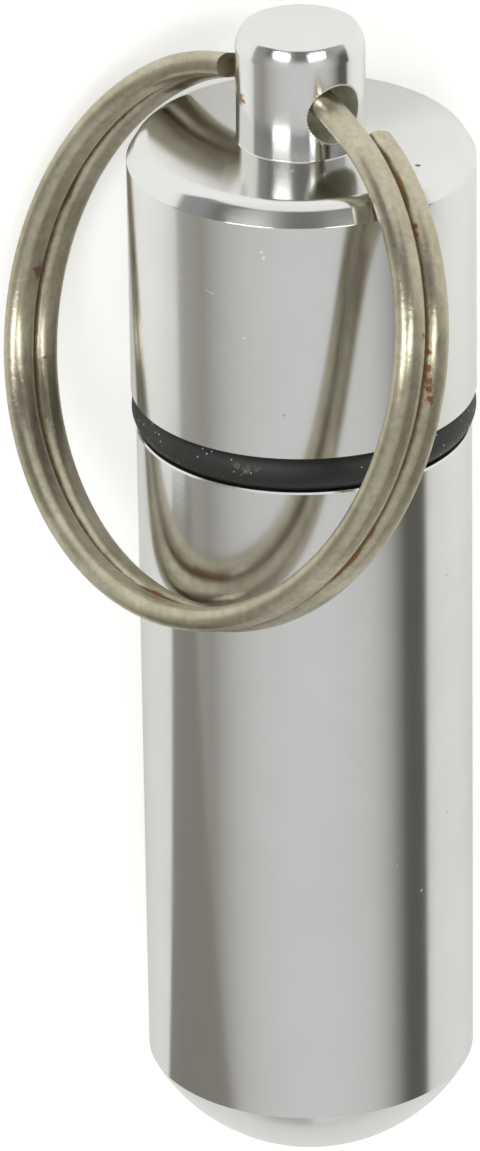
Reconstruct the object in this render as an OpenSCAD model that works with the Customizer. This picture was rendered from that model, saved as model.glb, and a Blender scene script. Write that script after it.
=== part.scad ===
// Pill fob keychain: a turned vial with a domed end, a screw cap with a drilled knob,
// a rubber seal between them and a split ring through the knob.
// Every piece is built upright about its turning axis, with the tip of the dome at zero,
// and the whole fob is then laid on its side, the knob toward +X.

/* [Vial] */
// Outside diameter of the vial
vial_d = 14.58; // [14:0.02:14.9]
// Length of the vial from the tip of its dome to its flat mouth
vial_len = 35.42; // [30:0.02:60]
// Height of the domed end
dome_h = 4.5; // [3.5:0.1:6.5]
// Diameter of the bore that holds the pills
bore_d = 10.3; // [8:0.1:10.4]
// Metal left between the bore and the tip of the dome
tip_wall = 3.2; // [2.8:0.1:8]
// Radius of the corner at the bottom of the bore
bore_corner = 1.5; // [0.5:0.1:3]
// Chamfer on the edges of the vial and the cap beside the seal
edge_break = 0.15; // [0.05:0.01:0.3]

/* [Thread] */
// Metal left outside the thread, between its nominal diameter and the vial's side
mouth_wall = 1.29; // [1.1:0.01:1.6]
// Rise of the thread in one turn
thread_pitch = 1.5; // [1.3:0.05:1.7]
// Turns of thread on the plug and in the mouth
thread_turns = 4; // [3:1:5]
// Height of a thread ridge
ridge_h = 0.68; // [0.55:0.01:0.72]
// Radial clearance between a ridge and the wall that faces it
thread_clear = 0.07; // [0.05:0.01:0.12]
// Depth of the plain mouth above the first ridge
mouth_plain = 0.9; // [0.7:0.1:2]

/* [Seal] */
// Thickness of the seal between the vial and the cap
seal_h = 1.62; // [1.4:0.01:1.7]
// Free diameter of the seal's round section
seal_section = 1.8; // [1.72:0.01:1.84]
// Clearance on each flat side of the seal
seal_gap = 0.025; // [0.01:0.005:0.05]
// Radial clearance between the seal and the neck that it sits on
neck_clear = 0.08; // [0.03:0.01:0.1]

/* [Cap] */
// How far the cap's side stands proud of the vial's side
cap_proud = 0.21; // [0.1:0.01:0.6]
// Height of the cap from its shoulder to its flat face
cap_h = 11.77; // [9:0.01:14]
// Radius of the rounded rim round the cap's face
rim_r = 1; // [0.6:0.1:1.4]
// Diameter of the bore in the plug
plug_bore_d = 7.6; // [5:0.1:8]
// Depth of the bore, from the end of the plug
plug_bore_depth = 12; // [8:0.1:14]
// Plain length of the plug past its last ridge
plug_lead = 0.8; // [0.5:0.1:2]

/* [Knob] */
// Diameter of the knob
knob_d = 5.56; // [5:0.02:6.5]
// Height of the knob above the cap's face
knob_h = 5.09; // [4.4:0.01:7]
// Radius of the knob's rounded top edge
knob_r = 0.6; // [0.2:0.1:1]
// Diameter of the cross-hole
hole_d = 2.6; // [2.5:0.02:3]
// Height of the cross-hole's centre above the cap's face
hole_rise = 2.01; // [1.9:0.01:2.6]
// Angle of the cross-hole from straight up, about the fob's length
hole_turn = 32.75; // [0:0.25:60]

/* [Split ring] */
// Outside diameter of the split ring
ring_od = 25; // [24:0.5:32]
// Radial thickness of the wire
wire_t = 1.05; // [0.9:0.01:1.1]
// Width of the two turns together
ring_w = 2.9; // [2.6:0.02:3]
// Gap between the two turns
turn_gap = 0.44; // [0.42:0.01:0.6]
// Radius on the edges of the wire
wire_edge = 0.38; // [0.2:0.01:0.4]
// Angle of the ring's axis from straight up, about the fob's length
ring_turn = -49.35; // [-60:0.05:-40]
// Distance of the ring's middle plane outward from the centre of the hole
ring_out = 0.99; // [0.8:0.01:1.2]
// Shift of the ring along the hole
ring_slide = 0.11; // [-0.3:0.01:0.3]
// Clearance of the leaning ring to the side of the vial
lean_clear = 0.1; // [0.05:0.01:0.3]
// Clearance of the leaning ring to the rim of the cap
rim_clear = 0.08; // [0.05:0.01:0.3]

/* [Hidden] */
$fn = 96;
// radii and levels of the turned pieces
vial_r = vial_d / 2;
cap_r = vial_r + cap_proud;
dome_r = (vial_r * vial_r + dome_h * dome_h) / (2 * dome_h);
shoulder_z = vial_len + seal_h + 2 * seal_gap;
face_z = shoulder_z + cap_h;
rim_z = face_z - rim_r;
top_z = face_z + knob_h;
hole_z = face_z + hole_rise;
// thread
thread_r = vial_r - mouth_wall;
mouth_r = thread_r + thread_clear;
root_r = thread_r - thread_clear - ridge_h;
thread_len = thread_turns * thread_pitch;
ridge_top = vial_len - mouth_plain;
mouth_depth = mouth_plain + thread_len + thread_pitch;
plug_end = ridge_top - thread_len - plug_lead;
neck_r = cap_r - seal_section - neck_clear - 0.02;
neck_end = vial_len - 0.35;
seal_r = neck_r + neck_clear + seal_section / 2;
ridge_steps = 24;
ridge_foot = 0.98;
ridge_crest = 0.26;
ridge_root = 0.25;
// wire of the split ring: cut ends, crossing and the springing of the wire in the hole
ring_r = (ring_od - wire_t) / 2;
wire_w = (ring_w - turn_gap) / 2;
half_lay = (ring_w - wire_w) / 2;
end_right = 63;
end_left = 108;
ring_step = 9;
spring_mid = (end_right + end_left) / 2;
spring_half = 38;
seat_in = 0.34;
seat_side = 0.45;

// Lean of the ring
// A turn of the ring stands clear of the vial at this lean, for a given distance between
// the centre of the ring and the centre of the hole.
function lean_for(drop) =
    let (a = drop + ring_r - wire_t / 2 + wire_edge)
    let (b = ring_out - ring_w / 2 + wire_edge)
    asin((vial_r + lean_clear + wire_edge) / norm([a, b])) - atan2(b, a);

function axis_n(l) = [cos(l) * sin(ring_turn), -cos(l) * cos(ring_turn), sin(l)];
function axis_a() = [cos(ring_turn), sin(ring_turn), 0];
function axis_b(l) = [-sin(l) * sin(ring_turn), sin(l) * cos(ring_turn), cos(l)];

function centre_for(drop) =
    let (l = lean_for(drop))
    [0, 0, hole_z] + ring_out * axis_n(l) + ring_slide * axis_a() - drop * axis_b(l);

// centre line of the rounded edge that passes nearest to the cap
function edge_at(drop, u) =
    let (l = lean_for(drop))
    let (r = ring_r - wire_t / 2 + wire_edge)
    centre_for(drop) + (wire_edge - ring_w / 2) * axis_n(l)
        + r * cos(u) * axis_a() + r * sin(u) * axis_b(l);

function from_cap(p) =
    let (r = norm([p.x, p.y]))
    p.z < rim_z ? r - cap_r
    : r < cap_r - rim_r ? p.z - face_z
    : norm([r - cap_r + rim_r, p.z - rim_z]) - rim_r;

function rim_gap(drop) =
    min([for (u = [20:1.5:160]) from_cap(edge_at(drop, u))]) - wire_edge;

function solve_drop(lo, hi, n) =
    let (mid = (lo + hi) / 2)
    n == 0 ? mid
    : rim_gap(mid) > rim_clear ? solve_drop(mid, hi, n - 1)
    : solve_drop(lo, mid, n - 1);

ring_drop = solve_drop(ring_r - 2.5, ring_r, 16);
ring_lean = lean_for(ring_drop);
ring_c = centre_for(ring_drop);
rn = axis_n(ring_lean);
ra = axis_a();
rb = axis_b(ring_lean);

// Wire of the split ring
spring_in = max(0, ring_r - ring_drop - seat_in);
spring_side = max(0, ring_out - seat_side);

// 1 at the hole, falling to 0 at the shoulders of the ring
function wrap(d) = d - 360 * floor((d + 180) / 360);
function spring(u) =
    let (d = abs(wrap(u - spring_mid)))
    d < spring_half ? pow(cos(90 * d / spring_half), 2) : 0;

// the wire lies in the back turn, crosses to the front turn in the hole and goes round again
function lay(u) =
    let (x = (end_left - 360 - u) / (end_left - end_right))
    x <= 0 ? -half_lay : x >= 1 ? half_lay : -half_lay * cos(180 * x);

wire_x = wire_t / 2 - wire_edge;
wire_y = wire_w / 2 - wire_edge;
function corner(cx, cy, a0) =
    [for (k = [0:2]) [cx + wire_edge * cos(a0 + 45 * k), cy + wire_edge * sin(a0 + 45 * k)]];
wire_section = concat(
    corner(wire_x, wire_y, 0),
    corner(-wire_x, wire_y, 90),
    corner(-wire_x, -wire_y, 180),
    corner(wire_x, -wire_y, 270)
);
sides = len(wire_section);
wire_angles = [for (u = [end_right:-ring_step:end_left - 720]) u];
wire_rings = [for (u = wire_angles)
    let (mid = ring_c + (lay(u) - spring_side * spring(u)) * rn)
    let (out = cos(u) * ra + sin(u) * rb)
    let (r = ring_r - spring_in * spring(u))
    [for (s = wire_section) mid + (r + s.x) * out + s.y * rn]];
wire_points = [for (ring = wire_rings) each ring];

// least gap of the wire to itself, between its two turns
turn_rings = round(360 / ring_step);
least_gap = min([for (i = [0:len(wire_rings) - 1])
    for (j = [i + turn_rings - 5:1:min(i + turn_rings + 5, len(wire_rings) - 1)])
        for (p = wire_rings[i]) for (q = wire_rings[j]) norm(p - q)]);
echo(least_gap_of_the_wire_mm = least_gap);

// Place of the lying fob
low_x = min([for (p = wire_points) p.x]);
high_x = max([for (p = wire_points) p.x]);
deep_y = max([for (p = wire_points) p.y]);
mid_x = (min(low_x, -cap_r) + max(high_x, cap_r)) / 2;
floor_y = max(deep_y, cap_r);

module lie_down() {
    translate([-top_z / 2, mid_x, floor_y])
        rotate([-90, 0, 0])
            rotate([0, 90, 0])
                children();
}

// Shapes
// Closed tube through a list of rings of points, skinned with triangles
module skin(rings) {
    n = len(rings[0]);
    m = len(rings);
    pts = [for (ring = rings) each ring];
    side = [for (i = [0:m - 2]) for (j = [0:n - 1])
        let (a = i * n + j)
        let (b = i * n + (j + 1) % n)
        each [[a, b, a + n], [b, b + n, a + n]]];
    first = [for (j = [1:n - 2]) [0, j + 1, j]];
    last = [for (j = [1:n - 2]) [(m - 1) * n, (m - 1) * n + j, (m - 1) * n + j + 1]];
    polyhedron(points = pts, faces = concat(side, first, last), convexity = 6);
}

// Right-hand ridge that runs out at both ends; dir is 1 outside a plug and -1 inside a mouth
module ridge(base, dir, z0) {
    count = thread_turns * ridge_steps;
    rings = [for (i = [0:count])
        let (t = 360 * i / ridge_steps)
        let (z = z0 + thread_pitch * i / ridge_steps)
        let (k = min(1, i / 8, (count - i) / 8))
        let (foot = base - dir * ridge_root)
        let (tip = base + dir * (ridge_h * k - 0.06 * (1 - k)))
        let (slope = (ridge_foot - ridge_crest) / 2 / ridge_h)
        let (w0 = ridge_foot / 2 + slope * ridge_root)
        let (w1 = ridge_foot / 2 - slope * (ridge_h * k - 0.06 * (1 - k)))
        [for (c = dir > 0 ? [[foot, -w0], [tip, -w1], [tip, w1], [foot, w0]]
                          : [[foot, w0], [tip, w1], [tip, -w1], [foot, -w0]])
            [c.x * cos(t), c.x * sin(t), z + c.y]]];
    skin(rings);
}

// Sub-parts
// Vial: one bar turned outside, domed at its end, bored and threaded in its mouth
module vial() {
    color("#b9bcc0") lie_down() {
        rotate_extrude() difference() {
            union() {
                intersection() {
                    translate([0, dome_r]) circle(r = dome_r);
                    square([vial_r, dome_h]);
                }
                translate([0, dome_h])
                    square([vial_r, vial_len - dome_h]);
            }
            translate([0, tip_wall + bore_corner])
                square([bore_d / 2, vial_len]);
            translate([0, tip_wall])
                square([bore_d / 2 - bore_corner, 2 * bore_corner]);
            translate([bore_d / 2 - bore_corner, tip_wall + bore_corner])
                circle(r = bore_corner);
            translate([0, vial_len - mouth_depth])
                square([mouth_r, mouth_depth + 1]);
            polygon([[vial_r - edge_break, vial_len], [vial_r + 1, vial_len - 1 - edge_break],
                [vial_r + 1, vial_len + 1], [vial_r - edge_break, vial_len + 1]]);
        }
        ridge(mouth_r, -1, ridge_top - thread_len);
    }
}

// Cap: one bar turned outside with its knob, with the neck for the seal and the threaded plug
module cap() {
    color("#c2c5c8") lie_down() {
        difference() {
            rotate_extrude() union() {
                difference() {
                    translate([0, shoulder_z])
                        square([cap_r, rim_z - shoulder_z]);
                    polygon([[cap_r - edge_break, shoulder_z],
                        [cap_r + 1, shoulder_z + 1 + edge_break],
                        [cap_r + 1, shoulder_z - 1], [cap_r - edge_break, shoulder_z - 1]]);
                }
                translate([0, rim_z]) square([cap_r - rim_r, rim_r]);
                intersection() {
                    translate([cap_r - rim_r, rim_z]) circle(r = rim_r);
                    translate([cap_r - rim_r, rim_z]) square([rim_r, rim_r]);
                }
                translate([0, face_z - 1])
                    square([knob_d / 2, knob_h + 1 - knob_r]);
                translate([0, face_z])
                    square([knob_d / 2 - knob_r, knob_h]);
                intersection() {
                    translate([knob_d / 2 - knob_r, top_z - knob_r]) circle(r = knob_r);
                    translate([knob_d / 2 - knob_r, top_z - knob_r]) square([knob_r, knob_r]);
                }
                translate([0, neck_end])
                    square([neck_r, shoulder_z - neck_end + 1]);
                translate([0, plug_end])
                    square([root_r, neck_end - plug_end + 1]);
            }
            translate([0, 0, plug_end - 1])
                cylinder(d = plug_bore_d, h = plug_bore_depth + 1);
            translate([0, 0, plug_end + plug_bore_depth - 0.001])
                cylinder(d1 = plug_bore_d, d2 = 0, h = plug_bore_d / 2 / tan(59));
            translate([0, 0, hole_z])
                rotate([90, 0, hole_turn])
                    cylinder(d = hole_d, h = knob_d + 2, center = true);
        }
        ridge(root_r, 1, ridge_top - thread_len + thread_pitch / 2 - 0.02);
    }
}

// O-ring: one rubber ring round the neck, pressed flat between the mouth and the shoulder
module o_ring() {
    color("#1d1d1f") lie_down()
        rotate_extrude()
            translate([seal_r, vial_len + seal_gap + seal_h / 2])
                intersection() {
                    circle(d = seal_section);
                    square([2 * seal_section, seal_h], center = true);
                }
}

// Split ring: one unbroken spring wire of nearly two turns, with its two cut ends by the knob
module split_ring() {
    color("#a59b87") lie_down()
        skin([for (i = [len(wire_rings) - 1:-1:0]) wire_rings[i]]);
}

vial();
cap();
o_ring();
split_ring();
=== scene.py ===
"""Pill fob keychain: a turned vial, its screw cap with a drilled knob, a rubber seal and a split ring.

The fob lies on its side: +X runs along the turning axis toward the knob and +Z is up. Each piece is made
in its own frame, in millimetres with its axis upright, and then brought to its place in Blender's metres.
"""

import math

import bmesh
import bpy
from mathutils import Matrix, Vector


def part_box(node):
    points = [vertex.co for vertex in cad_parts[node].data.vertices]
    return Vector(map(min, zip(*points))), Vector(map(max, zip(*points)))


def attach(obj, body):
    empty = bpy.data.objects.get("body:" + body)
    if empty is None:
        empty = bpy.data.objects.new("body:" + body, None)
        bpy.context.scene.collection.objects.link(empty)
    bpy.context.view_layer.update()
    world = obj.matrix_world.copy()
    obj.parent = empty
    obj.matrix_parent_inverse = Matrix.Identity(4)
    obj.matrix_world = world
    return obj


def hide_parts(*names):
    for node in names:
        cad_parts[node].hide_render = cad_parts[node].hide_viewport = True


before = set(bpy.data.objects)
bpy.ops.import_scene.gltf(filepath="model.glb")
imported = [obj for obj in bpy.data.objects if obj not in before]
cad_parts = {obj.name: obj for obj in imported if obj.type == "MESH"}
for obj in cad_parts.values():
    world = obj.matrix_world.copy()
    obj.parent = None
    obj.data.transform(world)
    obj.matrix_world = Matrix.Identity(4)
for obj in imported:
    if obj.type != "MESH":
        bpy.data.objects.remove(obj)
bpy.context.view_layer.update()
MM = 0.001

# Sizes of the fob in millimetres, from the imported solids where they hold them
vial_low, vial_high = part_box("vial")
cap_low, cap_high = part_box("cap")
TIP_X = vial_low.x / MM   # the tip of the dome
AXIS_Y = (cap_low.y + cap_high.y) / 2 / MM
AXIS_Z = (cap_low.z + cap_high.z) / 2 / MM
VIAL_R = (vial_high.z - vial_low.z) / 2 / MM
CAP_R = (cap_high.z - cap_low.z) / 2 / MM
VIAL_LEN = 35.42
DOME_H = 4.5
SEAL_H = 1.67             # the seal and its clearances
CAP_H = 11.77             # from the cap's shoulder to its face
KNOB_H = 5.09
KNOB_R = 2.78
SHOULDER = VIAL_LEN + SEAL_H
FACE = SHOULDER + CAP_H
TOP = FACE + KNOB_H
EDGE = 0.07               # the broken edges of both turned pieces
BAND = 0.03               # a narrow band beside a curve, which keeps the shading of the side even

# Inside of the vial, and the thread in its mouth
BORE_R = 5.15
BORE_FLOOR = 3.2
BORE_CORNER = 1.5
MOUTH_R = 6.07
MOUTH_FLOOR = 27.02
MOUTH_PLAIN = 0.9         # the plain mouth above the first ridge
THREAD_PITCH = 1.5
THREAD_RINGS = 5
RIDGE_H = 0.68
RIDGE_FOOT = 0.49         # half the width of a ridge at its foot, and at its crest
RIDGE_CREST = 0.13

# Inside of the cap: the neck that the seal sits on, the plug and its drilled bore
NECK_R = 5.6
NECK_END = 35.07
PLUG_R = 5.25
PLUG_END = 27.72
PLUG_RIDGE = 34.85        # the middle of its highest ridge
PLUG_BORE_R = 3.8
PLUG_BORE_FLOOR = 39.72
PLUG_BORE_TIP = 42.0      # where the drill's point ended

# Rim of the cap: a small broken edge, a flat bevel, and a rounded shoulder that runs into the face
RIM_EDGE = 0.09
RIM_DROP = 0.938          # the middle of the broken edge, below the face
RIM_BEVEL = 55.0          # the bevel's lean away from the face, in degrees
RIM_WIDE = 1.0            # the middle of the shoulder, in from the side
RIM_SHOULDER = 0.80

# Edge of the knob: a faint crease, a wide curve and a tight shoulder
KNOB_CREASE = 10.0        # degrees that the curve starts off the side
KNOB_CURVE = 2.2
KNOB_SHOULDER = 0.2
KNOB_TURN = 60.0          # degrees from the axis where the curve gives way to the shoulder

# Cross-hole through the knob
HOLE_R = 1.3
HOLE_AT = FACE + 2.01
HOLE_TURN = math.radians(32.75)      # from the top, toward the right of the photograph
HOLE_LIP = 0.07           # how far the grime stands out round the hole
DRILL_LEN = 9.0

# Rubber seal
SEAL_R = 6.58             # to the middle of its section
SEAL_SECTION = 0.9        # radius of the section before it is squeezed
SEAL_SIDE = SEAL_R + SEAL_SECTION
SEAL_GAP = 0.005          # left on each flat side

# Split ring: lengths in millimetres and turns in degrees, as the inputs of its Geometry Nodes tree
RING_SIZES = {
    "Mean radius": 11.975,
    "Wire thickness": 1.05,
    "Wire width": 1.36,
    "Edge radius": 0.50,
    "Lay": 0.715,           # from the middle of the wire to the plane between the two turns
    "First end": 64.5,      # the two cut ends, round the ring
    "Last end": 106.5,
    "Spring in": 0.52,      # how far the wire is sprung inward and aside where it passes through the knob
    "Spring side": 0.54,
    "Spring half": 38.0,    # and how far round the ring that goes to each side
}
WIRE_STEPS = 541            # points along the wire
END_SLANT = 1.5             # the slant of the cut end beside the knob
# Its place on the upright fob, as the source works it out from the ring's clearances
RING_LEAN = math.radians(19.9953)
RING_TURN = math.radians(-49.35)
RING_CENTRE = Vector((-3.51724, -3.16495, 40.7655))

# Camera: the photograph's view, from above and from the knob's side, with a long lens
CAMERA_TILT = 27.071        # degrees from straight above, toward the knob
CAMERA_ROLL = -0.862
CAMERA_LENS = 275.57
CAMERA_FROM_TIP = (203.47, 2.888, 343.69)      # from the tip of the dome

# Marks of wear on the turned pieces, and dust and a painted sheen on the seal: level from the tip, distance
# from the axis and turn round it from the top, toward the left of the photograph, then size, raggedness and
# colour
NICK = "#fafaf6"
CAP_MARKS = (
    (51.15, KNOB_R, 65.5, 0.32, 1.00, "#8d7046"),    # rusty rub beside the hole
    (FACE, 5.88, -56.6, 0.17, 0.10, "#34322f"),      # dark fleck on the face
    (46.79, CAP_R, 13.7, 0.10, 0.16, NICK),
    (46.52, CAP_R, 13.1, 0.11, 0.12, NICK),
    (44.52, CAP_R, 31.1, 0.08, 0.12, NICK),
    (44.55, CAP_R, 32.2, 0.07, 0.12, NICK),
    (44.58, CAP_R, 33.3, 0.06, 0.12, NICK),
    (42.69, CAP_R, 19.9, 0.09, 0.14, NICK),
    (39.22, CAP_R, 6.9, 0.08, 0.04, "#3c3b38"),      # dark speck
)
VIAL_MARKS = (
    (14.92, VIAL_R, -42.0, 0.09, 0.14, NICK),
    (29.75, VIAL_R, -56.1, 0.07, 0.04, "#4a4946"),   # dark specks
    (18.05, VIAL_R, -56.2, 0.07, 0.04, "#4a4946"),
)
# Dust on the seal, and a painted sheen near its top drawn as pale smudges
SEAL_DUST_AND_SHEEN = (
    (36.55, SEAL_SIDE, 23.4, 0.16, 0.90, "#4b4f49"),      # painted sheen: pale grey smudges where the top of the seal catches the light
    (36.44, SEAL_SIDE, 19.9, 0.22, 1.10, "#51554e"),
    (36.50, SEAL_SIDE, 16.5, 0.14, 0.90, "#474b45"),
    (36.20, SEAL_SIDE, 21.7, 0.06, 0.20, "#8e948b"),      # grains
    (36.38, SEAL_SIDE, 20.4, 0.05, 0.16, "#9aa097"),
    (36.50, SEAL_SIDE, 38.6, 0.07, 0.30, "#7d837a"),
    (36.42, SEAL_SIDE, 43.9, 0.04, 0.16, "#8e948b"),
)
# The same for rust and grime on the split ring: turn round it, distance from its middle and along its axis
RING_MARKS = (
    (41.3, 12.26, -0.08, 0.21, 0.80, "#6f4a30"),
    (39.8, 12.22, -0.05, 0.20, 0.80, "#784e2d"),
    (38.4, 12.20, -0.03, 0.16, 0.80, "#6d5038"),
    (19.3, 12.49, 0.37, 0.18, 0.80, "#72522d"),
    (16.1, 12.30, -0.11, 0.22, 0.90, "#7a5228"),
    (13.2, 12.32, -0.12, 0.24, 0.90, "#7c5428"),
    (10.6, 12.36, -0.13, 0.28, 0.90, "#7c5226"),
    (8.7, 12.42, -0.24, 0.22, 0.90, "#784f28"),
    (6.8, 12.49, -0.35, 0.24, 0.90, "#744d28"),
    (-176.7, 11.45, 0.50, 0.34, 0.90, "#6a4c44"),
    (-157.7, 11.46, -0.41, 0.10, 0.60, "#4c3e30"),
    (145.6, 11.45, 1.53, 0.20, 0.80, "#6e4a3c"),
)

# Tones of the studio, by height above the table for the sky, and from right to left for the room in front
SKY = {
    "right": ((0.0, "#5b5952"), (0.30, "#605e57"), (0.55, "#b8b7b4"), (0.72, "#cfcfcd"), (1.0, "#dadada")),
    "left": ((0.0, "#aeaca6"), (0.34, "#9c9a93"), (0.60, "#c0bfbc"), (0.78, "#cfcfcd"), (1.0, "#dadada")),
    "front": ((0.0, "#bcbcba"), (0.08, "#a0a09e"), (0.16, "#7c7c7a"), (0.34, "#7c7c79"), (0.50, "#747471"),
              (0.58, "#7a7a77"), (0.68, "#a0a09e"), (0.76, "#b3b3b1"), (0.83, "#a2a2a0"), (0.88, "#757572"),
              (0.94, "#71716e"), (0.98, "#98989a")),
}
WHITE = (1.0, 1.0, 1.0, 1.0)


# Places
def lay_down():
    """From a turned piece's own frame (axis +Z, tip at zero, millimetres) to the lying fob, in metres."""
    turn = Matrix(((0, 0, 1, 0), (-1, 0, 0, 0), (0, -1, 0, 0), (0, 0, 0, 1)))
    return Matrix.Translation((TIP_X * MM, AXIS_Y * MM, AXIS_Z * MM)) @ turn @ Matrix.Scale(MM, 4)


def put_ring():
    """From the split ring's own frame (axis +Z, middle at zero, millimetres) to the lying fob, in metres."""
    across = Vector((math.cos(RING_TURN), math.sin(RING_TURN), 0))
    axis = Vector((math.cos(RING_LEAN) * math.sin(RING_TURN), -math.cos(RING_LEAN) * math.cos(RING_TURN),
                   math.sin(RING_LEAN)))
    stand = Matrix((across, axis.cross(across), axis)).transposed().to_4x4()
    return lay_down() @ Matrix.Translation(RING_CENTRE) @ stand


def on_fob(level, radius, turn):
    """A place in metres, from its level and radius on the fob and its turn round the axis from the top."""
    angle = math.radians(turn)
    return Vector((TIP_X + level, AXIS_Y + radius * math.sin(angle), AXIS_Z + radius * math.cos(angle))) * MM


def on_ring(turn, radius, aside):
    """A place in metres, from its turn round the split ring and its distances from the middle and aside."""
    angle = math.radians(turn)
    return put_ring() @ Vector((radius * math.cos(angle), radius * math.sin(angle), aside))


# Small helpers
def linear(hex_colour):
    """An sRGB hex colour as linear RGBA."""
    parts = [int(hex_colour[i:i + 2], 16) / 255 for i in (1, 3, 5)]
    return tuple(c / 12.92 if c <= 0.04045 else ((c + 0.055) / 1.055) ** 2.4 for c in parts) + (1.0,)


def add(tree, kind, settings=None, stops=(), **links):
    """Adds a node. Settings are its attributes or input values, and links are the sockets that feed it.

    A node given as a link stands for its first output. An underscore in a link's name stands for a space, and
    i2 is the input at index 2. A colour Mix has its factor at index 0, its colours at 6 and 7, and its result
    at output 2. A colour ramp also has stops, each a position and a colour.
    """
    node = tree.nodes.new(kind)
    for key, value in (settings or {}).items():
        if isinstance(key, str) and hasattr(node, key):
            setattr(node, key, value)
        else:
            node.inputs[key].default_value = value
    for i, (position, colour) in enumerate(stops):
        points = node.color_ramp.elements
        point = points[i] if i < len(points) else points.new(position)
        point.position = position
        point.color = linear(colour)
    for key, source in links.items():
        name = int(key[1:]) if key[0] == "i" and key[1:].isdigit() else key.replace("_", " ")
        socket = source.outputs[0] if isinstance(source, bpy.types.Node) else source
        tree.links.new(socket, node.inputs[name])
    return node


def new_material(name):
    mat = bpy.data.materials.new(name)
    mat.use_nodes = True
    mat.node_tree.nodes.clear()
    return mat, mat.node_tree


def new_object(name, data):
    obj = bpy.data.objects.new(name, data)
    bpy.context.scene.collection.objects.link(obj)
    return obj


def evaluated_mesh(obj):
    """The plain mesh that an object's modifiers make."""
    return bpy.data.meshes.new_from_object(obj.evaluated_get(bpy.context.evaluated_depsgraph_get()))


def finished(obj, body, node, mat):
    """Gives a finished piece its material and body, and hides the CAD node that it stands for."""
    obj.data.materials.clear()
    obj.data.materials.append(mat)
    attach(obj, body)
    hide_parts(node)


# Materials: a pattern's scale is in cells per millimetre
def turned_aluminium(name, tint, marks, drilled=False):
    """Aluminium bar, turned and polished: its tool marks draw the reflections out in bands along the fob."""
    mat, tree = new_material(name)
    place = add(tree, "ShaderNodeTexCoord").outputs["Object"]
    # tool marks: rings 0.05 mm apart on the real one, drawn about 0.2 mm apart so that they show
    drawn_out = add(tree, "ShaderNodeMapping", {"Scale": (5.0 / MM, 0.03 / MM, 0.03 / MM)}, Vector=place)
    rings = add(tree, "ShaderNodeTexNoise", {"Scale": 1.0, "Detail": 0.0}, Vector=drawn_out)
    # handling wear: clouds about 6 mm wide where the polish is duller
    wear = add(tree, "ShaderNodeTexNoise", {"Scale": 0.17 / MM, "Detail": 5.0, "Roughness": 0.6},
               Vector=place)
    dull = add(tree, "ShaderNodeMapRange",
               {"From Min": 0.3, "From Max": 0.75, "To Min": 0.13, "To Max": 0.19}, Value=wear)
    # fine dust: dull specks under 0.2 mm across, about 4 mm apart
    cells = add(tree, "ShaderNodeTexVoronoi", {"Scale": 1.3 / MM, "Randomness": 1.0}, Vector=place)
    pick = add(tree, "ShaderNodeTexWhiteNoise", Vector=cells.outputs["Position"])
    near = add(tree, "ShaderNodeMath", {"operation": "LESS_THAN", 1: 0.12}, i0=cells.outputs["Distance"])
    few = add(tree, "ShaderNodeMath", {"operation": "GREATER_THAN", 1: 0.965}, i0=pick.outputs["Value"])
    speck = add(tree, "ShaderNodeMath", {"operation": "MULTIPLY"}, i0=near, i1=few)
    rough = add(tree, "ShaderNodeMath", {"operation": "MULTIPLY_ADD", 1: 0.25}, i0=speck, i2=dull)
    # the tint varies a little with the clouds, as thin oxide does
    tone = add(tree, "ShaderNodeMix", {"data_type": "RGBA", 6: linear(tint), 7: linear("#dcdcda")}, i0=wear)
    colour, covered = tone.outputs[2], None
    if drilled:
        colour, rough, covered = grimy_hole(tree, place, colour, rough)
    colour, covered = stains_and_sheen(tree, place, colour, covered, marks, on_fob)
    # only the bare metal is metallic
    bare = add(tree, "ShaderNodeMath", {"operation": "MULTIPLY_ADD", 1: -0.75, 2: 1.0}, i0=covered)
    height = add(tree, "ShaderNodeMath", {"operation": "MULTIPLY_ADD", 1: 3.0}, i0=speck, i2=rings)
    bump = add(tree, "ShaderNodeBump", {"Strength": 0.10, "Distance": 0.01 * MM}, Height=height)
    round_axis = add(tree, "ShaderNodeTangent", {"direction_type": "RADIAL", "axis": "X"})
    shader = add(tree, "ShaderNodeBsdfPrincipled", {"Anisotropic": 0.6, "Anisotropic Rotation": 0.25},
                 Base_Color=colour, Metallic=bare, Roughness=rough, Normal=bump, Tangent=round_axis)
    add(tree, "ShaderNodeOutputMaterial", Surface=shader)
    return mat


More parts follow.
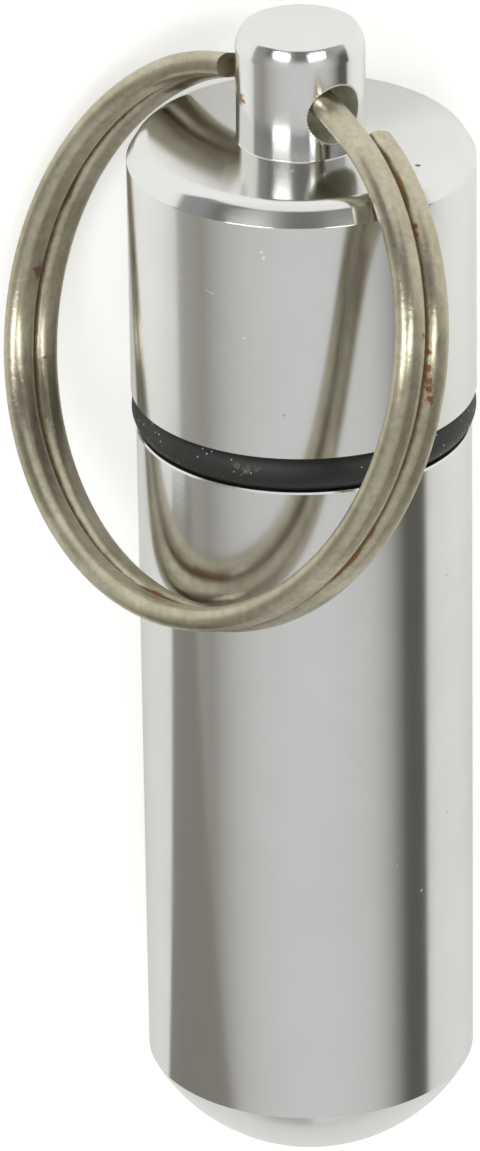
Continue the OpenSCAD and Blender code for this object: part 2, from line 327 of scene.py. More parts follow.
def grimy_hole(tree, place, colour, roughness):
    """The cross-hole is drilled and never polished: olive grime inside, chatter marks on its lip.

    Gives the colour, the roughness and a mask of the grime.
    """
    ways = {
        "along": (0.0, -math.sin(HOLE_TURN), math.cos(HOLE_TURN)),
        "level": (1.0, 0.0, 0.0),
        "aside": (0.0, math.cos(HOLE_TURN), math.sin(HOLE_TURN)),
    }
    middle = on_fob(HOLE_AT, 0.0, 0.0)
    from_middle = add(tree, "ShaderNodeVectorMath", {"operation": "SUBTRACT", 1: middle}, i0=place)
    far = {}
    for name, way in ways.items():
        dot = add(tree, "ShaderNodeVectorMath", {"operation": "DOT_PRODUCT", 1: way}, i0=from_middle)
        far[name] = dot.outputs["Value"]
    square = add(tree, "ShaderNodeMath", {"operation": "MULTIPLY"}, i0=far["level"], i1=far["level"])
    squares = add(tree, "ShaderNodeMath", {"operation": "MULTIPLY_ADD"}, i0=far["aside"], i1=far["aside"],
                  i2=square)
    radius = add(tree, "ShaderNodeMath", {"operation": "SQRT"}, i0=squares)
    # the drill chattered on one side of the lip: teeth 0.14 mm apart
    angle = add(tree, "ShaderNodeMath", {"operation": "ARCTAN2"}, i0=far["level"], i1=far["aside"])
    wave = add(tree, "ShaderNodeMath", {"operation": "MULTIPLY", 1: 62.0}, i0=angle)
    teeth = add(tree, "ShaderNodeMath", {"operation": "SINE"}, i0=wave)
    swing = add(tree, "ShaderNodeMapRange",
                {"From Min": 0.3 * MM, "From Max": 1.0 * MM, "To Min": 0.01 * MM, "To Max": 0.1 * MM},
                Value=far["aside"])
    lip = add(tree, "ShaderNodeMath", {"operation": "MULTIPLY_ADD", 2: (HOLE_R + HOLE_LIP) * MM},
              i0=teeth, i1=swing)
    inside = add(tree, "ShaderNodeMath", {"operation": "LESS_THAN"}, i0=radius, i1=lip)
    # and only as far as the knob's side
    reach = add(tree, "ShaderNodeMath", {"operation": "ABSOLUTE"}, i0=far["along"])
    through = add(tree, "ShaderNodeMath", {"operation": "LESS_THAN", 1: (KNOB_R + 0.12) * MM}, i0=reach)
    mask = add(tree, "ShaderNodeMath", {"operation": "MULTIPLY"}, i0=inside, i1=through)
    # the grime is pale in itself, and turns olive in the dark of the hole; crusts of 0.4 mm
    crust = add(tree, "ShaderNodeTexNoise", {"Scale": 2.5 / MM, "Detail": 4.0}, Vector=place)
    grime = add(tree, "ShaderNodeMix", {"data_type": "RGBA", 6: linear("#a9ab93"), 7: linear("#f6f6e6")},
                i0=crust)
    mixed = add(tree, "ShaderNodeMix", {"data_type": "RGBA"}, i0=mask, i6=colour, i7=grime.outputs[2])
    rough = add(tree, "ShaderNodeMath", {"operation": "MULTIPLY_ADD", 1: 0.28}, i0=mask, i2=roughness)
    return mixed.outputs[2], rough, mask


def stains_and_sheen(tree, place, colour, covered, marks, where):
    """Small marks of wear, and on the seal a painted sheen, each ragged and at its own place; also gives
    where they cover the piece.
    """
    rag = add(tree, "ShaderNodeTexNoise", {"Scale": 3.8 / MM, "Detail": 6.0, "Roughness": 0.75}, Vector=place)
    for *spot, size, ragged, hue in marks:
        edge = add(tree, "ShaderNodeMath",
                   {"operation": "MULTIPLY_ADD", 1: ragged * MM, 2: (size - ragged / 2) * MM}, i0=rag)
        way = add(tree, "ShaderNodeVectorMath", {"operation": "DISTANCE", 1: where(*spot)}, i0=place)
        less = add(tree, "ShaderNodeMath", {"operation": "SUBTRACT"}, i0=edge, i1=way.outputs["Value"])
        soft = add(tree, "ShaderNodeMapRange", {"From Min": 0.0, "From Max": 0.12 * MM}, Value=less)
        mixed = add(tree, "ShaderNodeMix", {"data_type": "RGBA", 7: linear(hue)}, i0=soft, i6=colour)
        colour = mixed.outputs[2]
        if covered is None:
            covered = soft
        else:
            covered = add(tree, "ShaderNodeMath", {"operation": "MAXIMUM"}, i0=covered, i1=soft)
    return colour, covered


def nitrile_rubber():
    """Black nitrile rubber, moulded: matt, clouded with dark grey, with dust clinging to it and a painted
    sheen near its top.
    """
    mat, tree = new_material("nitrile rubber, moulded")
    place = add(tree, "ShaderNodeTexCoord").outputs["Object"]
    # clouds about 2.5 mm wide
    clouds = add(tree, "ShaderNodeTexNoise", {"Scale": 0.4 / MM, "Detail": 5.0, "Roughness": 0.6},
                 Vector=place)
    grey = add(tree, "ShaderNodeMix", {"data_type": "RGBA", 6: linear("#191a19"), 7: linear("#2e302e")},
               i0=clouds)
    # dust: grains of 0.05 to 0.08 mm, gathered in patches some millimetres wide
    grains = add(tree, "ShaderNodeTexVoronoi", {"Scale": 6.5 / MM, "Randomness": 1.0}, Vector=place)
    pick = add(tree, "ShaderNodeTexWhiteNoise", Vector=grains.outputs["Position"])
    patch = add(tree, "ShaderNodeTexNoise", {"Scale": 0.19 / MM, "Detail": 1.0}, Vector=place)
    limit = add(tree, "ShaderNodeMapRange",
                {"From Min": 0.45, "From Max": 0.70, "To Min": 1.0, "To Max": 0.84}, Value=patch)
    near = add(tree, "ShaderNodeMath", {"operation": "LESS_THAN", 1: 0.25}, i0=grains.outputs["Distance"])
    few = add(tree, "ShaderNodeMath", {"operation": "GREATER_THAN"}, i0=pick.outputs["Value"], i1=limit)
    dots = add(tree, "ShaderNodeMath", {"operation": "MULTIPLY"}, i0=near, i1=few)
    dusty = add(tree, "ShaderNodeMix", {"data_type": "RGBA", 7: linear("#b9bdb6")}, i0=dots,
                i6=grey.outputs[2])
    # dust marks, and pale smudges that paint the sheen near the top of the seal
    colour, _ = stains_and_sheen(tree, place, dusty.outputs[2], None, SEAL_DUST_AND_SHEEN, on_fob)
    rough = add(tree, "ShaderNodeMapRange", {"To Min": 0.42, "To Max": 0.6}, Value=clouds)
    bump = add(tree, "ShaderNodeBump", {"Strength": 0.25, "Distance": 0.02 * MM}, Height=clouds)
    shader = add(tree, "ShaderNodeBsdfPrincipled", {"IOR": 1.52}, Base_Color=colour, Roughness=rough,
                 Normal=bump)
    add(tree, "ShaderNodeOutputMaterial", Surface=shader)
    return mat


def nickelled_steel():
    """Spring steel wire, nickel plated and long carried: warm grey, dulled, and rusty between the turns."""
    mat, tree = new_material("spring steel, nickel plated and worn")
    place = add(tree, "ShaderNodeTexCoord").outputs["Object"]
    across = add(tree, "ShaderNodeAttribute", {"attribute_name": "across"}).outputs["Fac"]
    # tarnish: clouds 2 to 4 mm wide between clean and yellowed plating, with blotches of 0.2 to 0.5 mm
    clouds = add(tree, "ShaderNodeTexNoise", {"Scale": 0.33 / MM, "Detail": 6.0, "Roughness": 0.62},
                 Vector=place)
    mottle = add(tree, "ShaderNodeTexNoise", {"Scale": 2.3 / MM, "Detail": 4.0, "Roughness": 0.7},
                 Vector=place)
    spread = add(tree, "ShaderNodeMix", {"data_type": "FLOAT", 0: 0.45}, i2=clouds, i3=mottle)
    plating = add(tree, "ShaderNodeValToRGB", stops=((0.36, "#a69f88"), (0.64, "#cfc8b2")), Fac=spread)
    # rust: dark in the groove between the turns, orange-brown here and there, and small pits elsewhere
    ragged = add(tree, "ShaderNodeTexNoise", {"Scale": 1.1 / MM, "Detail": 5.0, "Roughness": 0.7},
                 Vector=place)
    patches = add(tree, "ShaderNodeTexNoise", {"Scale": 0.24 / MM, "Detail": 2.0}, Vector=place)
    wide = add(tree, "ShaderNodeMapRange",
               {"From Min": 0.5, "From Max": 0.75, "To Min": 0.04, "To Max": 0.26}, Value=patches)
    reach = add(tree, "ShaderNodeMath", {"operation": "MULTIPLY_ADD", 1: 0.16}, i0=ragged, i2=wide)
    depth = add(tree, "ShaderNodeMath", {"operation": "SUBTRACT"}, i0=reach, i1=across)
    groove = add(tree, "ShaderNodeMapRange", {"From Min": -0.03, "From Max": 0.05}, Value=depth)
    pits = add(tree, "ShaderNodeTexNoise", {"Scale": 0.7 / MM, "Detail": 3.0, "Roughness": 0.6},
               Vector=place)
    spots = add(tree, "ShaderNodeMapRange", {"From Min": 0.735, "From Max": 0.76}, Value=pits)
    rust = add(tree, "ShaderNodeMath", {"operation": "MAXIMUM"}, i0=groove, i1=spots)
    warm = add(tree, "ShaderNodeMapRange", {"From Min": 0.55, "From Max": 0.68}, Value=patches)
    hue = add(tree, "ShaderNodeMix", {"data_type": "RGBA", 6: linear("#74603e"), 7: linear("#96622f")},
              i0=warm)
    rusty = add(tree, "ShaderNodeMix", {"data_type": "RGBA"}, i0=rust, i6=plating, i7=hue.outputs[2])
    colour, covered = stains_and_sheen(tree, place, rusty.outputs[2], rust, RING_MARKS, on_ring)
    metal = add(tree, "ShaderNodeMath", {"operation": "MULTIPLY_ADD", 1: -0.8, 2: 1.0}, i0=covered)
    worn = add(tree, "ShaderNodeMapRange", {"To Min": 0.24, "To Max": 0.36}, Value=clouds)
    rough = add(tree, "ShaderNodeMath", {"operation": "MULTIPLY_ADD", 1: 0.4}, i0=rust, i2=worn)
    # drawn wire: fine scratches along it spread each reflection round the wire
    ring = put_ring()
    axis = ring.to_3x3().col[2].normalized()
    from_middle = add(tree, "ShaderNodeVectorMath", {"operation": "SUBTRACT", 1: ring.translation}, i0=place)
    along = add(tree, "ShaderNodeVectorMath", {"operation": "CROSS_PRODUCT", 1: axis}, i0=from_middle)
    posed = add(tree, "ShaderNodeVectorTransform",
                {"vector_type": "VECTOR", "convert_from": "OBJECT", "convert_to": "WORLD"}, i0=along)
    drawn = add(tree, "ShaderNodeVectorMath", {"operation": "NORMALIZE"}, i0=posed)
    # grain of the plating: finer than 0.1 mm on the real one, drawn at about 0.2 mm so that it shows
    grain = add(tree, "ShaderNodeTexNoise", {"Scale": 5.2 / MM, "Detail": 2.0}, Vector=place)
    relief = add(tree, "ShaderNodeMath", {"operation": "MULTIPLY_ADD", 1: 0.5}, i0=grain, i2=ragged)
    bump = add(tree, "ShaderNodeBump", {"Strength": 0.6, "Distance": 0.02 * MM}, Height=relief)
    shader = add(tree, "ShaderNodeBsdfPrincipled", {"Anisotropic": 0.8, "Anisotropic Rotation": 0.25},
                 Base_Color=colour, Metallic=metal, Roughness=rough, Normal=bump, Tangent=drawn)
    add(tree, "ShaderNodeOutputMaterial", Surface=shader)
    return mat


# Turned pieces: an outline (radius, level) spun about the turning axis
def arc(centre, radius, start, end, count):
    """Points along an arc in the outline's plane, angles in degrees from the radial direction."""
    angles = [math.radians(start + (end - start) * i / count) for i in range(count + 1)]
    return [(centre[0] + radius * math.cos(a), centre[1] + radius * math.sin(a)) for a in angles]


def turn_on_lathe(name, outline, steps=288, closed=False):
    """Spins an outline into a mesh with the Screw modifier and lays it down in its place."""
    edges = [(i, i + 1) for i in range(len(outline) - 1)]
    if closed:
        edges.append((len(outline) - 1, 0))
    mesh = bpy.data.meshes.new(name + "_outline")
    mesh.from_pydata([(r, 0.0, z) for r, z in outline], edges, [])
    blank = new_object(name + "_blank", mesh)
    screw = blank.modifiers.new("lathe", "SCREW")
    screw.steps = screw.render_steps = steps
    screw.use_merge_vertices = True
    screw.merge_threshold = 1e-5
    screw.use_smooth_shade = True
    solid = evaluated_mesh(blank)
    bpy.data.objects.remove(blank)
    bpy.data.meshes.remove(mesh)
    solid.name = name
    solid.transform(lay_down())
    # faces point outwards
    work = bmesh.new()
    work.from_mesh(solid)
    bmesh.ops.recalc_face_normals(work, faces=work.faces)
    work.to_mesh(solid)
    work.free()
    return new_object(name, solid)


def crisp(obj, angle):
    """Smooth shading with sharp edges where two faces meet at more than angle degrees."""
    obj.data.shade_smooth()
    obj.data.set_sharp_from_angle(angle=math.radians(angle))


def thread_outline(radius, side, first):
    """Ridges of the thread in outline, drawn as rings a pitch apart, from the first one down."""
    points = []
    for ring in range(THREAD_RINGS):
        level = first - ring * THREAD_PITCH
        points += [(radius, level + RIDGE_FOOT), (radius + side * RIDGE_H, level + RIDGE_CREST),
                   (radius + side * RIDGE_H, level - RIDGE_CREST), (radius, level - RIDGE_FOOT)]
    return points


def vial_outline():
    """Dome, side, broken edge, flat mouth, threaded mouth and bore."""
    sphere = (VIAL_R ** 2 + DOME_H ** 2) / (2 * DOME_H)
    meet = math.degrees(math.atan2(DOME_H - sphere, VIAL_R))
    points = [(0.0, 0.0)] + arc((0, sphere), sphere, -90, meet, 40)[1:]
    points += [(VIAL_R, DOME_H + BAND), (VIAL_R, VIAL_LEN - EDGE), (VIAL_R - EDGE, VIAL_LEN)]
    points += [(MOUTH_R, VIAL_LEN), (MOUTH_R, VIAL_LEN - MOUTH_PLAIN)]
    points += thread_outline(MOUTH_R, -1, VIAL_LEN - MOUTH_PLAIN - THREAD_PITCH / 2)
    points += [(MOUTH_R, MOUTH_FLOOR), (BORE_R, MOUTH_FLOOR)]
    points += arc((BORE_R - BORE_CORNER, BORE_FLOOR + BORE_CORNER), BORE_CORNER, 0, -90, 8)
    points += [(0.0, BORE_FLOOR)]
    return points


def rim_edge():
    """From the cap's side to its face: the small broken edge, the flat bevel and the rounded shoulder."""
    broken = arc((CAP_R - RIM_EDGE, FACE - RIM_DROP), RIM_EDGE, 0, 90 - RIM_BEVEL, 8)
    shoulder = arc((CAP_R - RIM_WIDE, FACE - RIM_SHOULDER), RIM_SHOULDER, 90 - RIM_BEVEL, 90, 16)
    return [(CAP_R, FACE - RIM_DROP - BAND)] + broken + shoulder


def knob_edge():
    """From the knob's side to its top: the faint crease, the wide curve and the tight shoulder."""
    meet = math.radians(90 - KNOB_TURN)
    reach = (KNOB_CURVE - KNOB_SHOULDER) * math.cos(meet)
    drop = (KNOB_CURVE - KNOB_SHOULDER) * math.sin(meet)
    centre = (KNOB_R - KNOB_CURVE * math.cos(math.radians(KNOB_CREASE)), TOP - KNOB_SHOULDER - drop)
    wide = arc(centre, KNOB_CURVE, KNOB_CREASE, 90 - KNOB_TURN, 14)
    tight = arc((centre[0] + reach, TOP - KNOB_SHOULDER), KNOB_SHOULDER, 90 - KNOB_TURN, 90, 10)
    return [(KNOB_R, wide[0][1] - BAND)] + wide + tight[1:]


def cap_outline():
    """Plug's bore, plug with its thread, neck, shoulder, side, rim, flat face and knob."""
    points = [(0.0, PLUG_BORE_TIP), (PLUG_BORE_R, PLUG_BORE_FLOOR), (PLUG_BORE_R, PLUG_END)]
    points += [(PLUG_R, PLUG_END)]
    points += reversed(thread_outline(PLUG_R, 1, PLUG_RIDGE))
    points += [(PLUG_R, NECK_END), (NECK_R, NECK_END), (NECK_R, SHOULDER)]
    points += [(CAP_R - EDGE, SHOULDER), (CAP_R, SHOULDER + EDGE)]
    points += rim_edge()
    points += arc((KNOB_R + EDGE, FACE + EDGE), EDGE, 270, 180, 6)
    points += knob_edge()
    points += [(0.0, TOP)]
    return points


def drill_knob(cap):
    """Cuts the cross-hole through the knob."""
    bpy.ops.mesh.primitive_cylinder_add(vertices=96, radius=HOLE_R, depth=DRILL_LEN, end_fill_type="NGON")
    drill = bpy.context.object
    way = Vector((math.sin(HOLE_TURN), -math.cos(HOLE_TURN), 0))
    aim = Vector((0, 0, 1)).rotation_difference(way).to_matrix().to_4x4()
    drill.data.transform(lay_down() @ Matrix.Translation((0, 0, HOLE_AT)) @ aim)
    cut = cap.modifiers.new("drill", "BOOLEAN")
    cut.operation = "DIFFERENCE"
    cut.object = drill
    cut.solver = "EXACT"
    undrilled = cap.data
    drilled = evaluated_mesh(cap)
    cap.modifiers.clear()
    cap.data = drilled
    bpy.data.meshes.remove(undrilled)
    bpy.data.objects.remove(drill)


def make_vial(mat):
    vial = turn_on_lathe("turned_vial", vial_outline())
    crisp(vial, angle=24)
    finished(vial, "vial", "vial", mat)


def make_cap(mat):
    cap = turn_on_lathe("turned_cap", cap_outline())
    drill_knob(cap)
    crisp(cap, angle=24)
    finished(cap, "cap", "cap", mat)


def make_seal(mat):
    """Rubber ring pressed flat between the mouth and the shoulder, bulging outward."""
    middle = (VIAL_LEN + SHOULDER) / 2
    half = (SHOULDER - VIAL_LEN) / 2 - SEAL_GAP
    flat = math.degrees(math.asin(half / SEAL_SECTION))
    points = arc((SEAL_R, middle), SEAL_SECTION, -flat, flat, 20)
    points += arc((SEAL_R, middle), SEAL_SECTION, 180 - flat, 180 + flat, 12)
    seal = turn_on_lathe("rubber_seal", points, closed=True)
    crisp(seal, angle=50)
    finished(seal, "o_ring", "o_ring", mat)


# Split ring: one wire of nearly two turns, made by Geometry Nodes
def ring_tree():
    """The wire's flat section, swept along its path from the first cut end round to the last."""
    tree = bpy.data.node_groups.new("split ring", "GeometryNodeTree")
    face = tree.interface
    face.new_socket("Geometry", in_out="OUTPUT", socket_type="NodeSocketGeometry")
    for name in RING_SIZES:
        face.new_socket(name, in_out="INPUT", socket_type="NodeSocketFloat")
    face.new_socket("Steps", in_out="INPUT", socket_type="NodeSocketInt")
    face.new_socket("Finish", in_out="INPUT", socket_type="NodeSocketMaterial")
    given = add(tree, "NodeGroupInput").outputs

    # how far round the ring each point of the path lies
    past = add(tree, "ShaderNodeMath", {"operation": "ADD", 1: 720.0}, i0=given["First end"])
    whole = add(tree, "ShaderNodeMath", {"operation": "SUBTRACT"}, i0=past, i1=given["Last end"])
    steps = add(tree, "ShaderNodeMath", {"operation": "SUBTRACT", 1: 1.0}, i0=given["Steps"])
    index = add(tree, "GeometryNodeInputIndex")
    part = add(tree, "ShaderNodeMath", {"operation": "DIVIDE"}, i0=index, i1=steps)
    gone = add(tree, "ShaderNodeMath", {"operation": "MULTIPLY"}, i0=whole, i1=part)
    angle = add(tree, "ShaderNodeMath", {"operation": "SUBTRACT"}, i0=given["First end"], i1=gone)

    # the wire crosses from the back turn to the front turn between the two cut ends
    once = add(tree, "ShaderNodeMath", {"operation": "SUBTRACT", 1: 360.0}, i0=given["Last end"])
    into = add(tree, "ShaderNodeMath", {"operation": "SUBTRACT"}, i0=once, i1=angle)
    gap = add(tree, "ShaderNodeMath", {"operation": "SUBTRACT"}, i0=given["Last end"], i1=given["First end"])
    passed = add(tree, "ShaderNodeMath", {"operation": "DIVIDE", "use_clamp": True}, i0=into, i1=gap)
    half_turn = add(tree, "ShaderNodeMath", {"operation": "MULTIPLY", 1: math.pi}, i0=passed)
    crossing = add(tree, "ShaderNodeMath", {"operation": "COSINE"}, i0=half_turn)
    behind = add(tree, "ShaderNodeMath", {"operation": "MULTIPLY", 1: -1.0}, i0=given["Lay"])
    layer = add(tree, "ShaderNodeMath", {"operation": "MULTIPLY"}, i0=crossing, i1=behind)

    # and it is sprung inward and aside where it passes through the knob
    ends = add(tree, "ShaderNodeMath", {"operation": "ADD"}, i0=given["First end"], i1=given["Last end"])
    knob = add(tree, "ShaderNodeMath", {"operation": "MULTIPLY", 1: 0.5}, i0=ends)
    off = add(tree, "ShaderNodeMath", {"operation": "SUBTRACT"}, i0=angle, i1=knob)
    short_way = add(tree, "ShaderNodeMath", {"operation": "WRAP", 1: 180.0, 2: -180.0}, i0=off)
    away = add(tree, "ShaderNodeMath", {"operation": "ABSOLUTE"}, i0=short_way)
    share = add(tree, "ShaderNodeMath", {"operation": "DIVIDE", "use_clamp": True}, i0=away,
                i1=given["Spring half"])
    quarter_turn = add(tree, "ShaderNodeMath", {"operation": "MULTIPLY", 1: math.pi / 2}, i0=share)
    rise = add(tree, "ShaderNodeMath", {"operation": "COSINE"}, i0=quarter_turn)
    spring = add(tree, "ShaderNodeMath", {"operation": "POWER", 1: 2.0}, i0=rise)
    inward = add(tree, "ShaderNodeMath", {"operation": "MULTIPLY"}, i0=spring, i1=given["Spring in"])
    aside = add(tree, "ShaderNodeMath", {"operation": "MULTIPLY"}, i0=spring, i1=given["Spring side"])

    # the path
    radius = add(tree, "ShaderNodeMath", {"operation": "SUBTRACT"}, i0=given["Mean radius"], i1=inward)
    turned = add(tree, "ShaderNodeMath", {"operation": "RADIANS"}, i0=angle)
    cosine = add(tree, "ShaderNodeMath", {"operation": "COSINE"}, i0=turned)
    sine = add(tree, "ShaderNodeMath", {"operation": "SINE"}, i0=turned)
    x = add(tree, "ShaderNodeMath", {"operation": "MULTIPLY"}, i0=radius, i1=cosine)
    y = add(tree, "ShaderNodeMath", {"operation": "MULTIPLY"}, i0=radius, i1=sine)
    z = add(tree, "ShaderNodeMath", {"operation": "SUBTRACT"}, i0=layer, i1=aside)
    spot = add(tree, "ShaderNodeCombineXYZ", X=x, Y=y, Z=z)
    line = add(tree, "GeometryNodeMeshLine", Count=given["Steps"])
    moved = add(tree, "GeometryNodeSetPosition", Geometry=line, Position=spot)
    path = add(tree, "GeometryNodeMeshToCurve", Mesh=moved)
    upright = add(tree, "GeometryNodeSetCurveNormal", {"mode": "Z_UP"}, Curve=path)
    # the level of the groove between the two turns is kept on the path, for the rust
    groove = add(tree, "ShaderNodeMath", {"operation": "MULTIPLY", 1: -1.0}, i0=aside)
    kept = add(tree, "GeometryNodeStoreNamedAttribute",
               {"data_type": "FLOAT", "domain": "POINT", "Name": "groove"}, Geometry=upright, Value=groove)

    # the section, swept along it
    flat = add(tree, "GeometryNodeCurvePrimitiveQuadrilateral", Width=given["Wire thickness"],
               Height=given["Wire width"])
    section = add(tree, "GeometryNodeFilletCurve", {"mode": "POLY", "Count": 7}, Curve=flat,
                  Radius=given["Edge radius"])
    wire = add(tree, "GeometryNodeCurveToMesh", {"Fill Caps": True}, Curve=kept, Profile_Curve=section)
    # each point's distance from the groove, which the rust reads
    place = add(tree, "ShaderNodeSeparateXYZ", Vector=add(tree, "GeometryNodeInputPosition"))
    level = add(tree, "GeometryNodeInputNamedAttribute", {"data_type": "FLOAT", "Name": "groove"})
    over = add(tree, "ShaderNodeMath", {"operation": "SUBTRACT"}, i0=place.outputs["Z"], i1=level)
    far = add(tree, "ShaderNodeMath", {"operation": "ABSOLUTE"}, i0=over)
    marked = add(tree, "GeometryNodeStoreNamedAttribute",
                 {"data_type": "FLOAT", "domain": "POINT", "Name": "across"}, Geometry=wire, Value=far)
    smooth = add(tree, "GeometryNodeSetShadeSmooth", Geometry=marked)
    real = add(tree, "GeometryNodeRealizeInstances", Geometry=smooth)
    dressed = add(tree, "GeometryNodeSetMaterial", Geometry=real, Material=given["Finish"])
    add(tree, "NodeGroupOutput", Geometry=dressed)
    return tree


def slant_end(mesh):
    """The cut end beside the knob was sheared at a slant: its outer half reaches further round."""
    section = len(mesh.vertices) // WIRE_STEPS
    for point in mesh.vertices[-section:]:
        out = math.hypot(point.co.x, point.co.y) - RING_SIZES["Mean radius"]
        share = min(max(2 * out / RING_SIZES["Wire thickness"], 0.0), 1.0)
        point.co.rotate(Matrix.Rotation(math.radians(-END_SLANT * share), 3, "Z"))


def make_ring(mat):
    tree = ring_tree()
    blank = new_object("ring_blank", bpy.data.meshes.new("ring_blank"))
    maker = blank.modifiers.new("split ring", "NODES")
    maker.node_group = tree
    inputs = {item.name: item.identifier for item in tree.interface.items_tree if item.in_out == "INPUT"}
    for name, value in RING_SIZES.items():
        maker[inputs[name]] = value
    maker[inputs["Steps"]] = WIRE_STEPS
    maker[inputs["Finish"]] = mat
    mesh = evaluated_mesh(blank)
    bpy.data.objects.remove(blank)
    mesh.name = "split_ring_wire"
    slant_end(mesh)
    mesh.transform(put_ring())
    ring = new_object("split_ring_wire", mesh)
    crisp(ring, angle=40)
    finished(ring, "split_ring", "split_ring", mat)


# Studio: white table and low white backdrop, and a soft grey sky, dark low down at the sides and in front
def make_camera():
    tilt, roll = math.radians(CAMERA_TILT), math.radians(CAMERA_ROLL)
    right = Vector((math.sin(roll) * math.cos(tilt), -math.cos(roll), -math.sin(roll) * math.sin(tilt)))
    up = Vector((math.cos(roll) * math.cos(tilt), math.sin(roll), -math.cos(roll) * math.sin(tilt)))
    data = bpy.data.cameras.new("camera")
    data.lens = CAMERA_LENS
    data.sensor_fit = "AUTO"
    data.sensor_width = 36.0
    data.clip_start = 0.01
    data.clip_end = 20.0
    camera = new_object("camera", data)
    spot = (Vector((TIP_X, AXIS_Y, AXIS_Z)) + Vector(CAMERA_FROM_TIP)) * MM
    aim = Matrix((right, up, right.cross(up))).transposed().to_4x4()
    camera.matrix_world = Matrix.Translation(spot) @ aim
    bpy.context.scene.camera = camera


def make_world():
    """The room: the metal and the shadows get its tones, and the camera sees plain white."""
    world = bpy.data.worlds.new("studio")
    bpy.context.scene.world = world
    world.use_nodes = True
    tree = world.node_tree
    tree.nodes.clear()
    way = add(tree, "ShaderNodeSeparateXYZ", Vector=add(tree, "ShaderNodeTexCoord").outputs["Generated"])
    ahead, left, up = way.outputs
    # how high and how far left a direction goes round the fob's axis, whatever its slant along it
    square = add(tree, "ShaderNodeMath", {"operation": "MULTIPLY"}, i0=left, i1=left)
    squares = add(tree, "ShaderNodeMath", {"operation": "MULTIPLY_ADD"}, i0=up, i1=up, i2=square)
    length = add(tree, "ShaderNodeMath", {"operation": "SQRT"}, i0=squares)
    height = add(tree, "ShaderNodeMath", {"operation": "DIVIDE"}, i0=up, i1=length)
    aside = add(tree, "ShaderNodeMath", {"operation": "DIVIDE"}, i0=left, i1=length)
    across = add(tree, "ShaderNodeMath", {"operation": "MULTIPLY_ADD", 1: 0.5, 2: 0.5}, i0=aside)
    tones = {}
    for name, measure in (("right", height), ("left", height), ("front", across)):
        tones[name] = add(tree, "ShaderNodeValToRGB", stops=SKY[name], Fac=measure)
    # the sky above and behind: bright overhead, darker low down, most on the right
    side = add(tree, "ShaderNodeMapRange", {"From Min": -0.3, "From Max": 0.3}, Value=aside)
    back = add(tree, "ShaderNodeMix", {"data_type": "RGBA"}, i0=side, i6=tones["right"], i7=tones["left"])
    # straight behind the dome it is paler
    end = add(tree, "ShaderNodeMapRange",
              {"From Min": -0.88, "From Max": -0.97, "interpolation_type": "SMOOTHSTEP"}, Value=ahead)
    far = add(tree, "ShaderNodeMix", {"data_type": "RGBA", 6: linear("#e0e0de"), 7: linear("#b9b9b7")},
              i0=side)
    sky = add(tree, "ShaderNodeMix", {"data_type": "RGBA"}, i0=end, i6=back.outputs[2], i7=far.outputs[2])
    # in front, the dim side of the room, lighter to the left
    forward = add(tree, "ShaderNodeMapRange",
                  {"From Min": 0.12, "From Max": 0.34, "interpolation_type": "SMOOTHSTEP"}, Value=ahead)
    room = add(tree, "ShaderNodeMix", {"data_type": "RGBA"}, i0=forward, i6=sky.outputs[2],
               i7=tones["front"])
    # the white table turns up into a low backdrop beyond the knob
    low = add(tree, "ShaderNodeMapRange",
              {"From Min": 0.80, "From Max": 0.83, "interpolation_type": "SMOOTHSTEP"}, Value=ahead)
    whole = add(tree, "ShaderNodeMix", {"data_type": "RGBA", 7: WHITE}, i0=low, i6=room.outputs[2])
    light = add(tree, "ShaderNodeBackground", {"Strength": 1.0}, Color=whole.outputs[2])
    white = add(tree, "ShaderNodeBackground", {"Color": WHITE, "Strength": 1.0})
    path = add(tree, "ShaderNodeLightPath")
    pick = add(tree, "ShaderNodeMixShader", i0=path.outputs["Is Camera Ray"], i1=light, i2=white)
    add(tree, "ShaderNodeOutputWorld", Surface=pick)


def matt_paper(name, colour):
    """A material of plain matt paper, still without its output."""
    mat, tree = new_material(name)
    shader = add(tree, "ShaderNodeBsdfPrincipled",
                 {"Base Color": linear(colour), "Roughness": 0.9, "Specular IOR Level": 0.1})
    return mat, tree, shader


def flat_sheet(name, corners, mat):
    """A plain sheet for the studio, which isn't part of the object."""
    mesh = bpy.data.meshes.new(name)
    mesh.from_pydata(corners, [], [(0, 1, 2, 3)])
    mesh.materials.append(mat)
    sheet = new_object(name, mesh)
    return sheet


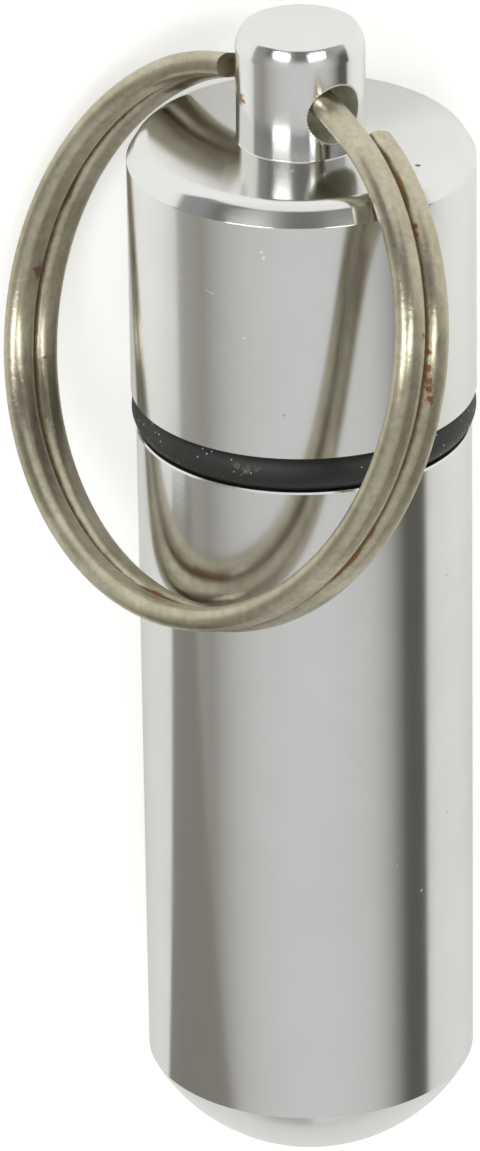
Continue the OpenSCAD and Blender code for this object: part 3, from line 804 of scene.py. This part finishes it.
def make_table():
    """Matt white table: pure white to the camera, pale in the metal, and it keeps the fob's shadow."""
    mat, tree, shader = matt_paper("paper, matt white", "#efefec")
    spot = add(tree, "ShaderNodeSeparateXYZ", Vector=add(tree, "ShaderNodeTexCoord").outputs["Object"])
    path = add(tree, "ShaderNodeLightPath")
    # the metal sees the table a little brighter beyond the knob than beside the fob
    toward = add(tree, "ShaderNodeMapRange",
                 {"From Min": -10.0 * MM, "From Max": 25.0 * MM, "To Min": 0.02, "To Max": 0.2},
                 Value=spot.outputs["X"])
    mirrored = add(tree, "ShaderNodeMath", {"operation": "MAXIMUM"}, i0=path.outputs["Is Glossy Ray"],
                   i1=path.outputs["Is Transmission Ray"])
    in_metal = add(tree, "ShaderNodeMath", {"operation": "MULTIPLY"}, i0=mirrored, i1=toward)
    strength = add(tree, "ShaderNodeMath", {"operation": "MULTIPLY_ADD", 1: 0.42},
                   i0=path.outputs["Is Camera Ray"], i2=in_metal)
    glow = add(tree, "ShaderNodeEmission", {"Color": WHITE}, Strength=strength)
    both = add(tree, "ShaderNodeAddShader", i0=shader, i1=glow)
    add(tree, "ShaderNodeOutputMaterial", Surface=both)
    half = 1.5
    flat_sheet("white_table", [(-half, -half, 0), (half, -half, 0), (half, half, 0), (-half, half, 0)], mat)


def make_card():
    """A grey card on the left, out of the camera's sight: it draws the long dark band down that side."""
    mat, tree, shader = matt_paper("card, matt grey", "#9a9890")
    add(tree, "ShaderNodeOutputMaterial", Surface=shader)
    near, far = (-0.040, 0.013), (-0.015, 0.047)
    card = flat_sheet("grey_card", [(*near, 0.0), (*far, 0.0), (*far, 0.016), (*near, 0.028)], mat)
    card.visible_camera = card.visible_diffuse = card.visible_shadow = False


def make_lamp(name, start, end, width, brightness, mirrored=True):
    """A soft lamp as a strip between two points, facing the fob, of even brightness."""
    start, end = Vector(start), Vector(end)
    middle, along = (start + end) / 2, end - start
    data = bpy.data.lights.new(name, "AREA")
    data.shape = "RECTANGLE"
    data.size = along.length
    data.size_y = width
    data.energy = brightness * math.pi * along.length * width
    side = along.normalized()
    back = (middle - middle.dot(side) * side).normalized()
    lamp = new_object(name, data)
    aim = Matrix((side, back.cross(side), back)).transposed().to_4x4()
    lamp.matrix_world = Matrix.Translation(middle) @ aim
    lamp.visible_glossy = mirrored


make_camera()
make_world()
make_table()
make_card()
make_lamp("overhead", (-0.15, 0.0, 0.5), (0.15, 0.0, 0.5), width=0.3, brightness=1.6, mirrored=False)
make_lamp("left_lamp", (0.317, 0.5415, 0.451), (0.317, 0.2385, 0.663), width=0.118, brightness=8.0)
make_lamp("right_lamp", (0.317, -0.187, 0.681), (0.317, -0.513, 0.485), width=0.118, brightness=8.0)

make_vial(turned_aluminium("aluminium, turned and polished: vial", "#e7e7e7", VIAL_MARKS))
make_cap(turned_aluminium("aluminium, turned and polished: cap", "#e9e9e8", CAP_MARKS, drilled=True))
make_seal(nitrile_rubber())
make_ring(nickelled_steel())

bpy.context.scene.view_settings.view_transform = "Standard"
